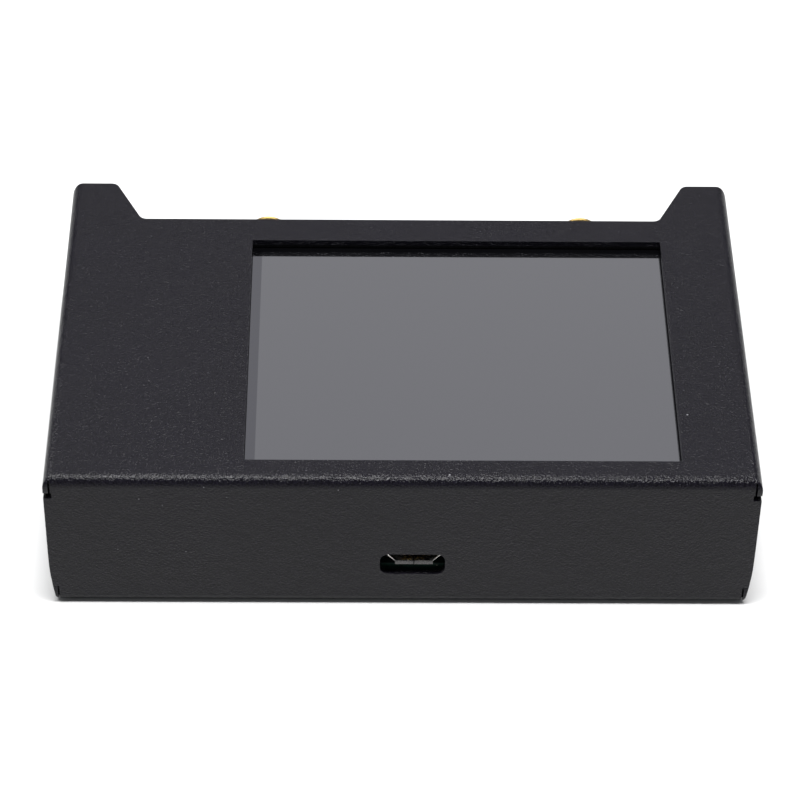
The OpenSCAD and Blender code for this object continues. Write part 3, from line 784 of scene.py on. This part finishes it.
# ---------------------------------------------------------------- the pieces
class ANALYZER_OT_case(bpy.types.Operator):
    """Finishes the folded cover and tray with the soft edges that a powder coat gives sheet"""
    bl_idname = "analyzer.case"
    bl_label = "Case"

    def execute(self, context):
        edge = settings("coat").edge
        softened("top_cover", edge, sharp=50)
        softened("bottom_tray", edge, sharp=50)
        return {"FINISHED"}


class ANALYZER_OT_screen(bpy.types.Operator):
    """Makes the touch panel with its ground edge, and the glass and gasket behind and around it"""
    bl_idname = "analyzer.screen"
    bl_label = "Screen"

    def execute(self, context):
        softened("touch_panel", 0.12 * MM)
        softened("lcd_glass", 0.08 * MM)
        softened("screen_gasket", 0.12 * MM)
        softened("display_pads", 0.4 * MM)
        softened("backlight_tray", 0.06 * MM)
        return {"FINISHED"}


class ANALYZER_OT_usb_socket(bpy.types.Operator):
    """Draws the USB socket's folded shell, with its bent lip and floor seam, round its tongue"""
    bl_idname = "analyzer.usb_socket"
    bl_label = "USB socket"

    def execute(self, context):
        low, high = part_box("usb_shell")
        middle = (low.x + high.x) / 2
        wall, seam, lip, drop, spare = 0.24 * MM, 0.05 * MM, 0.44 * MM, 0.34 * MM, 0.02 * MM
        half, narrow, slope = high.x - middle - wall - spare, 2.7 * MM, 1.05 * MM
        front, floor = low.y + lip + spare, low.z + wall + drop
        shell = block(
            "usb_socket_shell", (middle - half, front, floor), (middle + half, high.y, high.z - wall - spare)
        )
        with editing(shell):
            slice_at((middle, 0, floor + slope), (0, 0, 1))
            pick(shell, "VERT", lambda co: co.z < floor + MERGE)
            stretch((narrow / half, 1, 1), (middle, 0, 0))
            slice_at((middle - seam, 0, 0), (1, 0, 0))
            slice_at((middle + seam, 0, 0), (1, 0, 0))
            pick(shell, "FACE", lambda co, normal: normal.y < -0.9)
            bpy.ops.mesh.delete(type="FACE")
            pick(shell, "FACE", lambda co, normal: normal.z < -0.9 and abs(co.x - middle) < seam)
            bpy.ops.mesh.delete(type="FACE")
            pick(shell, "EDGE", lambda co, along: co.y < front + MERGE and co.z < floor + MERGE)
            draw_out(0, -lip, -drop)
        apply_modifier(shell, "SOLIDIFY", thickness=wall, offset=1.0, use_even_offset=True)
        break_edges(shell, 0.07 * MM, 25)
        smooth(shell)
        fit(shell, "usb_shell")
        softened("usb_tongue", 0.05 * MM)
        softened("usb_contacts", 0.03 * MM)
        return {"FINISHED"}


def thread(name, x, z, front, rear, core, crest):
    """A helical ridge round a barrel, from a section that is wide at its foot and narrow at its crest."""
    pitch = settings("metal").pitch
    overlap, foot, top = 0.04 * MM, 0.86, 0.2
    deselect()
    bpy.ops.mesh.primitive_plane_add(
        size=1, location=((core + crest) / 2, 0, 0), rotation=(math.pi / 2, 0, 0)
    )
    ridge = bpy.context.object
    ridge.scale = (crest - core + overlap, pitch * foot, 1)
    bpy.ops.object.transform_apply(location=True, rotation=True, scale=True)
    with editing(ridge, "VERT"):
        pick(ridge, "VERT", lambda co: co.x > (core + crest) / 2)
        stretch((1, 1, top))
    turns = int((rear - front) / pitch) - 1
    apply_modifier(
        ridge, "SCREW", angle=2 * math.pi, screw_offset=pitch, iterations=turns, steps=40, render_steps=40,
        axis="Z",
    )
    with editing(ridge):
        pick_all()
        bpy.ops.mesh.remove_doubles(threshold=MERGE)
        bpy.ops.mesh.fill_holes(sides=8)
        bpy.ops.mesh.normals_make_consistent(inside=False)
    return settle(ridge, name, (x, front + pitch / 2, z), (-math.pi / 2, 0, 0))


class ANALYZER_OT_test_ports(bpy.types.Operator):
    """Turns the two threaded test ports, with their flanges, legs, contacts, nuts and lock washers"""
    bl_idname = "analyzer.test_ports"
    bl_label = "Test ports"

    def execute(self, context):
        first = self.port(PORTS[0])
        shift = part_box("port_2_jack")[0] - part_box("port_1_jack")[0]
        for part, piece in first.items():
            fit(piece, "port_1_" + part)
            fit(copy_of(piece, piece.name.replace("port_1", "port_2"), shift), "port_2_" + part)
        return {"FINISHED"}

    def port(self, port):
        low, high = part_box(port + "_jack")
        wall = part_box(port + "_washer")[0].y
        nut_low, nut_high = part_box(port + "_nut")
        back, depth = (corner.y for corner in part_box(port + "_insulator"))
        x, z = (low.x + high.x) / 2, (low.z + high.z) / 2
        place = (x, 0, z)
        barrel, root, mouth, bore = 3.175 * MM, 2.78 * MM, 2.33 * MM, 2.06 * MM
        flange_rear = wall - SHEET - 0.1 * MM
        tip, collar = high.y, barrel - 0.1 * MM

        body = turned(port + "_barrel", [
            (root, flange_rear - 0.4 * MM), (root, tip - 0.95 * MM), (collar, tip - 0.7 * MM),
            (collar, tip - 0.3 * MM), (collar - 0.2 * MM, tip - 0.02 * MM), (collar - 0.26 * MM, tip),
            (mouth + 0.12 * MM, tip), (mouth, tip - 0.1 * MM), (mouth, depth), (bore, depth),
            (bore, flange_rear - 0.2 * MM),
        ], place)
        ridge = thread(port + "_thread", x, z, wall + 0.2 * MM, tip - 0.55 * MM, root, barrel)
        flange = block(port + "_flange", (low.x, back, low.z), (high.x, flange_rear, high.z), 0.25 * MM)
        board_low, board_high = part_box("main_board")
        spacing, leg_w, leg_h = 2.65 * MM, 1.0 * MM, 0.9 * MM
        leg = block(port + "_leg", (-leg_w / 2, low.y, 0), (leg_w / 2, back + 0.1 * MM, leg_h), 0.12 * MM)
        heights = (board_high.z, board_low.z - leg_h)
        legs = spread(port + "_legs", leg, [
            (x + side * spacing, 0, height) for side in (-1, 1) for height in heights
        ])
        jack = joined(port + "_body", [body, ridge, flange, legs])
        smooth(jack)

        outside = bore - 0.01 * MM
        insulator = turned(port + "_dielectric", [
            (outside, back), (outside, depth - 0.08 * MM), (outside - 0.08 * MM, depth),
            (0.72 * MM, depth), (0.66 * MM, depth - 0.05 * MM), (0.66 * MM, depth - 0.4 * MM),
        ], place)
        contact_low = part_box(port + "_contact")[0]
        pin, tail, hole, slot_w, slot_end = 0.635 * MM, 0.36 * MM, 0.46 * MM, 0.05 * MM, 0.8 * MM
        contact = turned(port + "_pin", [
            (tail, contact_low.y), (tail, back), (pin, back), (pin, depth - 0.12 * MM),
            (pin - 0.1 * MM, depth), (0.52 * MM, depth), (hole, depth - 0.06 * MM),
            (hole, depth - 2.6 * MM), (0.02 * MM, depth - 2.9 * MM),
        ], place, facets=40)
        for across, up in ((slot_end, slot_w), (slot_w, slot_end)):
            cut(contact, block(
                "slot", (x - across, depth - 1.9 * MM, z - up), (x + across, depth + 0.2 * MM, z + up)
            ))
        smooth(contact)
        return {
            "jack": jack, "insulator": insulator, "contact": contact,
            "washer": self.washer(port, place), "nut": self.nut(port, place, nut_low, nut_high, root),
        }

    def nut(self, port, place, low, high, root):
        """A hexagon nut with chamfered corners and a countersunk bore."""
        flat = (high.z - low.z) / 2
        corner = flat / math.cos(math.pi / 6)
        deselect()
        bpy.ops.mesh.primitive_cylinder_add(
            vertices=6, radius=corner, depth=high.y - low.y, rotation=(0, 0, math.pi / 6)
        )
        nut = settle(bpy.context.object, port + "_hexagon", (place[0], (low.y + high.y) / 2, place[2]),
                     (-math.pi / 2, 0, 0))
        slope, over, wide, sink = 0.34 * MM, corner + 0.1 * MM, root + 0.35 * MM, 0.25 * MM
        face, narrow, past = flat - 0.05 * MM, root + 0.05 * MM, 0.1 * MM
        cut(nut, turned("chamfer", [
            (face, low.y), (over, low.y + slope), (over, high.y - slope), (face, high.y),
        ], place), "INTERSECT")
        cut(nut, turned("bore", [
            (wide, low.y - past), (narrow, low.y + sink), (narrow, high.y - sink), (wide, high.y + past),
        ], place))
        break_edges(nut, 0.06 * MM, 20)
        smooth(nut)
        return nut

    def washer(self, port, place):
        """A lock washer with teeth round its outside."""
        low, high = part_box(port + "_washer")
        outer, inner, teeth, tooth, gap = (high.z - low.z) / 2, 3.2 * MM, 14, 0.55 * MM, 0.42 * MM
        deselect()
        bpy.ops.mesh.primitive_circle_add(vertices=teeth * 4, radius=outer)
        washer = bpy.context.object
        with editing(washer, "EDGE"):
            pick_all()
            for radius, last in ((outer - tooth, outer), (inner, outer - tooth)):
                draw_out(0, 0, 0)
                shrink = radius / last
                stretch((shrink, shrink, 1))
            pick(washer, "VERT", lambda co: co.length > outer - 0.1 * MM and self.in_gap(co, teeth))
            shrink = (outer - gap) / outer
            stretch((shrink, shrink, 1))
        face_out(washer)
        apply_modifier(washer, "SOLIDIFY", thickness=high.y - low.y - 0.06 * MM, offset=0.0)
        break_edges(washer, 0.05 * MM, 40)
        settle(washer, port + "_lock_washer", (place[0], (low.y + high.y) / 2, place[2]),
               (-math.pi / 2, 0, 0))
        smooth(washer)
        return washer

    @staticmethod
    def in_gap(co, teeth):
        turn = math.atan2(co.y, co.x) / (2 * math.pi) * teeth
        return (turn + 0.01) % 1 < 0.5


class ANALYZER_OT_controls(bpy.types.Operator):
    """Makes the three dished keys, the ribbed power lever, their switches and the two domed light pipes"""
    bl_idname = "analyzer.controls"
    bl_label = "Controls"

    def execute(self, context):
        wall_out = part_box("port_1_washer")[0].y
        low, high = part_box("key_left_cap")
        middle = (low + high) / 2
        stem, flange, cap = 1.2 * MM, 2.35 * MM, 1.75 * MM
        flange_front, flange_rear, edge = low.y + 1.2 * MM, low.y + 2.0 * MM, 0.08 * MM
        face = high.y
        first = turned("key_left_button", [
            (stem, low.y), (stem, flange_front), (flange - edge, flange_front), (flange, flange_front + edge),
            (flange, flange_rear - edge), (flange - edge, flange_rear), (cap + 0.1 * MM, flange_rear),
            (cap, flange_rear + 0.1 * MM), (cap, face - 0.42 * MM), (cap - 0.04 * MM, face - 0.2 * MM),
            (cap - 0.17 * MM, face - 0.05 * MM), (cap - 0.38 * MM, face), (cap - 0.6 * MM, face - 0.03 * MM),
            (0.75 * MM, face - 0.13 * MM), (0.3 * MM, face - 0.19 * MM), (0.04 * MM, face - 0.2 * MM),
        ], (middle.x, 0, middle.z))
        for key in KEYS[1:]:
            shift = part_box(key + "_cap")[0] - low
            fit(copy_of(first, key + "_button", shift), key + "_cap")
        fit(first, "key_left_cap")
        for key in KEYS:
            softened(key + "_switch", 0.12 * MM)

        low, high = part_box("power_switch_lever")
        middle = (low + high) / 2
        half_w, half_h, foot_rear = 1.0 * MM, 0.85 * MM, low.y + 1.65 * MM
        tip = high.y
        parts = [
            block("lever", low, (high.x, foot_rear, high.z), 0.15 * MM),
            block("lever", (middle.x - half_w, foot_rear - 0.3 * MM, middle.z - half_h),
                  (middle.x + half_w, tip - 0.12 * MM, middle.z + half_h), 0.16 * MM, 3),
        ]
        rib_step, rib_w, first_rib = 0.46 * MM, 0.24 * MM, middle.x - half_w + 0.16 * MM
        rib = block("rib", (first_rib, wall_out + 0.5 * MM, middle.z - half_h + 0.1 * MM),
                    (first_rib + rib_w, tip, middle.z + half_h - 0.1 * MM), 0.07 * MM)
        parts.append(spread("ribs", rib, [(step * rib_step, 0, 0) for step in range(4)]))
        lever = joined("power_lever", parts)
        smooth(lever)
        fit(lever, "power_switch_lever")
        softened("power_switch_frame", 0.1 * MM)

        low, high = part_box("light_pipes")
        head, body = 1.0 * MM, 1.4 * MM
        dome = high.y
        shoulder = wall_out - SHEET
        pipe = turned("light_pipe", [
            (body, low.y), (body, shoulder), (head, shoulder), (head, dome - 0.3 * MM),
            (0.93 * MM, dome - 0.17 * MM), (0.72 * MM, dome - 0.07 * MM), (0.4 * MM, dome - 0.015 * MM),
            (0.05 * MM, dome),
        ], (0, 0, (low.z + high.z) / 2), facets=40)
        fit(spread("status_light_pipes", pipe, [(low.x + body, 0, 0), (high.x - body, 0, 0)]), "light_pipes")
        softened("status_leds", 0.1 * MM)
        return {"FINISHED"}


class ANALYZER_OT_fasteners(bpy.types.Operator):
    """Finishes the screws, nuts, standoffs and posts with broken edges"""
    bl_idname = "analyzer.fasteners"
    bl_label = "Fasteners"

    def execute(self, context):
        for node in ("standoff_screws", "lip_screws", "rear_screws", "board_screws", "power_screws"):
            softened(node, 0.07 * MM, sharp=40)
        for node in ("lip_nuts", "standoffs", "power_posts"):
            softened(node, 0.09 * MM, sharp=40)
        return {"FINISHED"}


def solids(node):
    """The box of each separate solid of a CAD node."""
    twin = bpy.data.objects.new("solid", frame["nodes"][node].data.copy())
    bpy.context.collection.objects.link(twin)
    with editing(twin):
        pick_all()
        bpy.ops.mesh.remove_doubles(threshold=MERGE)
        bpy.ops.mesh.separate(type="LOOSE")
    boxes = []
    for part in list(bpy.context.selected_objects):
        corners = [Vector(corner) for corner in part.bound_box]
        boxes.append((corners[0], corners[6]))
        bpy.data.objects.remove(part)
    return boxes


def on_board(board, face, count, size, seed):
    """Free places for small parts on one face of a board, clear of every other node there."""
    low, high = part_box(board)
    z = low.z if face == "under" else high.z
    reach = 2.0 * MM
    taken = []
    for node in frame["nodes"]:
        a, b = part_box(node)
        if node not in (board, "top_cover", "bottom_tray") and a.z < z + reach and b.z > z - reach:
            taken += [(a, b) for a, b in solids(node) if a.z < z + reach and b.z > z - reach]
    dice = random.Random(seed)
    places, room, edge, tries = [], 0.7 * MM + size, 2 * MM, 40
    for _ in range(count * tries):
        x = round(dice.uniform(low.x + edge, high.x - edge) / MM * 2) / 2 * MM
        y = round(dice.uniform(low.y + edge, high.y - edge) / MM * 2) / 2 * MM
        clear_of_nodes = all(
            x < a.x - room or x > b.x + room or y < a.y - room or y > b.y + room for a, b in taken
        )
        clear_of_parts = all(abs(x - px) > 2.2 * size or abs(y - py) > 2.2 * size for px, py, _ in places)
        if clear_of_nodes and clear_of_parts:
            places.append((x, y, z))
        if len(places) == count:
            break
    return places


class ANALYZER_OT_boards(bpy.types.Operator):
    """Stuffs the two boards: small capacitors with tinned ends, chip leads, the shield and the connectors"""
    bl_idname = "analyzer.boards"
    bl_label = "Boards"

    def execute(self, context):
        length, width, height = 1.0 * MM, 0.5 * MM, 0.5 * MM
        end_w, cap, edge = 0.28 * MM, 0.02 * MM, 0.05 * MM
        rows = (
            ("main_board", "under", 44, 3), ("main_board", "over", 26, 5), ("power_board", "over", 16, 11),
        )
        for board, face, count, seed in rows:
            places = [(x, y, z - height if face == "under" else z)
                      for x, y, z in on_board(board, face, count, length, seed)]
            name = f"{board}_{face}_capacitor"
            body = block(
                "capacitor", (-length / 2, -width / 2, 0), (length / 2, width / 2, height), edge, 1
            )
            end = block(
                "end", (-end_w / 2, -width / 2 - cap, -cap), (end_w / 2, width / 2 + cap, height + cap),
                edge, 1,
            )
            ends = spread("ends", end, [(-length / 2, 0, 0), (length / 2, 0, 0)])
            attach(spread(name + "s", body, places), board, "cream_plastic")
            attach(spread(name + "_ends", ends, places), board, "tin")
        self.leads("processor_chip", 16)
        softened("processor_chip", 0.12 * MM)
        softened("charger_chip", 0.1 * MM)
        softened("radio_chips", 0.05 * MM)
        for node in ("shield_fence", "shield_lid"):
            softened(node, 0.06 * MM)
        softened("reference_crystal", 0.25 * MM, segments=3)
        softened("power_inductor", 0.2 * MM, segments=3)
        for node in ("main_board", "power_board", "link_header", "link_socket", "ribbon_socket", "link_pins"):
            softened(node, 0.06 * MM, segments=1)
        return {"FINISHED"}

    def leads(self, chip, count):
        """Gull-wing leads down the four sides of a chip that hangs under its board."""
        low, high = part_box(chip)
        middle = (low + high) / 2
        pitch = (high.x - low.x - 1.6 * MM) / (count - 1)
        half, root, thin = pitch * 0.25, 0.05 * MM, 0.12 * MM
        shoulder, slant, rise, foot = 0.3 * MM, 0.15 * MM, 0.43 * MM, 0.3 * MM
        edge, drop = (high.y - low.y) / 2, high.z - thin - rise
        lead = block("lead", (-half, edge - root, drop), (half, edge + shoulder, drop + thin))
        with editing(lead):
            pick(lead, "FACE", lambda co, normal: normal.y > 0.9)
            push(0, slant, rise)
            push(0, foot, 0)
        row = spread("lead_row", lead, [((i - (count - 1) / 2) * pitch, 0, 0) for i in range(count)])
        leads = spread(chip + "_leads", row, [(middle.x, middle.y, 0)] * 4,
                       [(0, 0, side * math.pi / 2) for side in range(4)])
        attach(leads, chip, "tin")


class ANALYZER_OT_battery(bpy.types.Operator):
    """Wraps the cell in its pouch, with folded seams and a tape over its circuit"""
    bl_idname = "analyzer.battery"
    bl_label = "Battery"

    def execute(self, context):
        softened("battery_cell", 0.3 * MM, segments=3)
        low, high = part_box("battery_cell")
        thick = 0.3 * MM
        flap = block("flap", (low.x + 1.2 * MM, 0, low.z + 1.6 * MM),
                     (high.x - 1.2 * MM, thick, low.z + 4.4 * MM), 0.1 * MM)
        seams = spread("battery_cell_seams", flap, [(0, low.y - thick, 0), (0, high.y, 0)])
        attach(seams, "battery_cell", "cell_foil")
        for node in ("battery_board", "battery_pad", "battery_socket", "battery_plug"):
            softened(node, 0.12 * MM)
        return {"FINISHED"}


class ANALYZER_OT_finishes(bpy.types.Operator):
    """Gives every CAD piece that still shows its own finish"""
    bl_idname = "analyzer.finishes"
    bl_label = "Finishes"

    def execute(self, context):
        for name, node in frame["nodes"].items():
            if not node.hide_render:
                node.data.materials.clear()
                node.data.materials.append(finish(SLOT_OF[name]))
        return {"FINISHED"}


class VIEW3D_PT_analyzer(bpy.types.Panel):
    bl_label = "Network Analyzer"
    bl_space_type = "VIEW_3D"
    bl_region_type = "UI"
    bl_category = "Analyzer"

    def draw(self, context):
        for group in PROPERTY_GROUPS:
            box = self.layout.box()
            for name in PROPERTY_GROUPS[group].__annotations__:
                box.prop(settings(group), name)
        for operator in OPERATORS:
            self.layout.operator(operator.bl_idname)


PROPERTY_GROUPS = {
    "coat": CoatProperties, "screen": ScreenProperties, "metal": MetalProperties, "stage": StageProperties,
}
OPERATORS = (
    ANALYZER_OT_stage,
    ANALYZER_OT_case,
    ANALYZER_OT_screen,
    ANALYZER_OT_usb_socket,
    ANALYZER_OT_test_ports,
    ANALYZER_OT_controls,
    ANALYZER_OT_fasteners,
    ANALYZER_OT_boards,
    ANALYZER_OT_battery,
    ANALYZER_OT_finishes,
)


def register():
    for kind in (*PROPERTY_GROUPS.values(), *OPERATORS, VIEW3D_PT_analyzer):
        bpy.utils.register_class(kind)
    for group, kind in PROPERTY_GROUPS.items():
        setattr(bpy.types.Scene, "analyzer_" + group, PointerProperty(type=kind))


def unregister():
    for group in PROPERTY_GROUPS:
        delattr(bpy.types.Scene, "analyzer_" + group)
    for kind in reversed((*PROPERTY_GROUPS.values(), *OPERATORS, VIEW3D_PT_analyzer)):
        bpy.utils.unregister_class(kind)


def main():
    register()
    for operator in OPERATORS:
        group, name = operator.bl_idname.split(".")
        getattr(getattr(bpy.ops, group), name)()


if __name__ == "__main__":
    main()
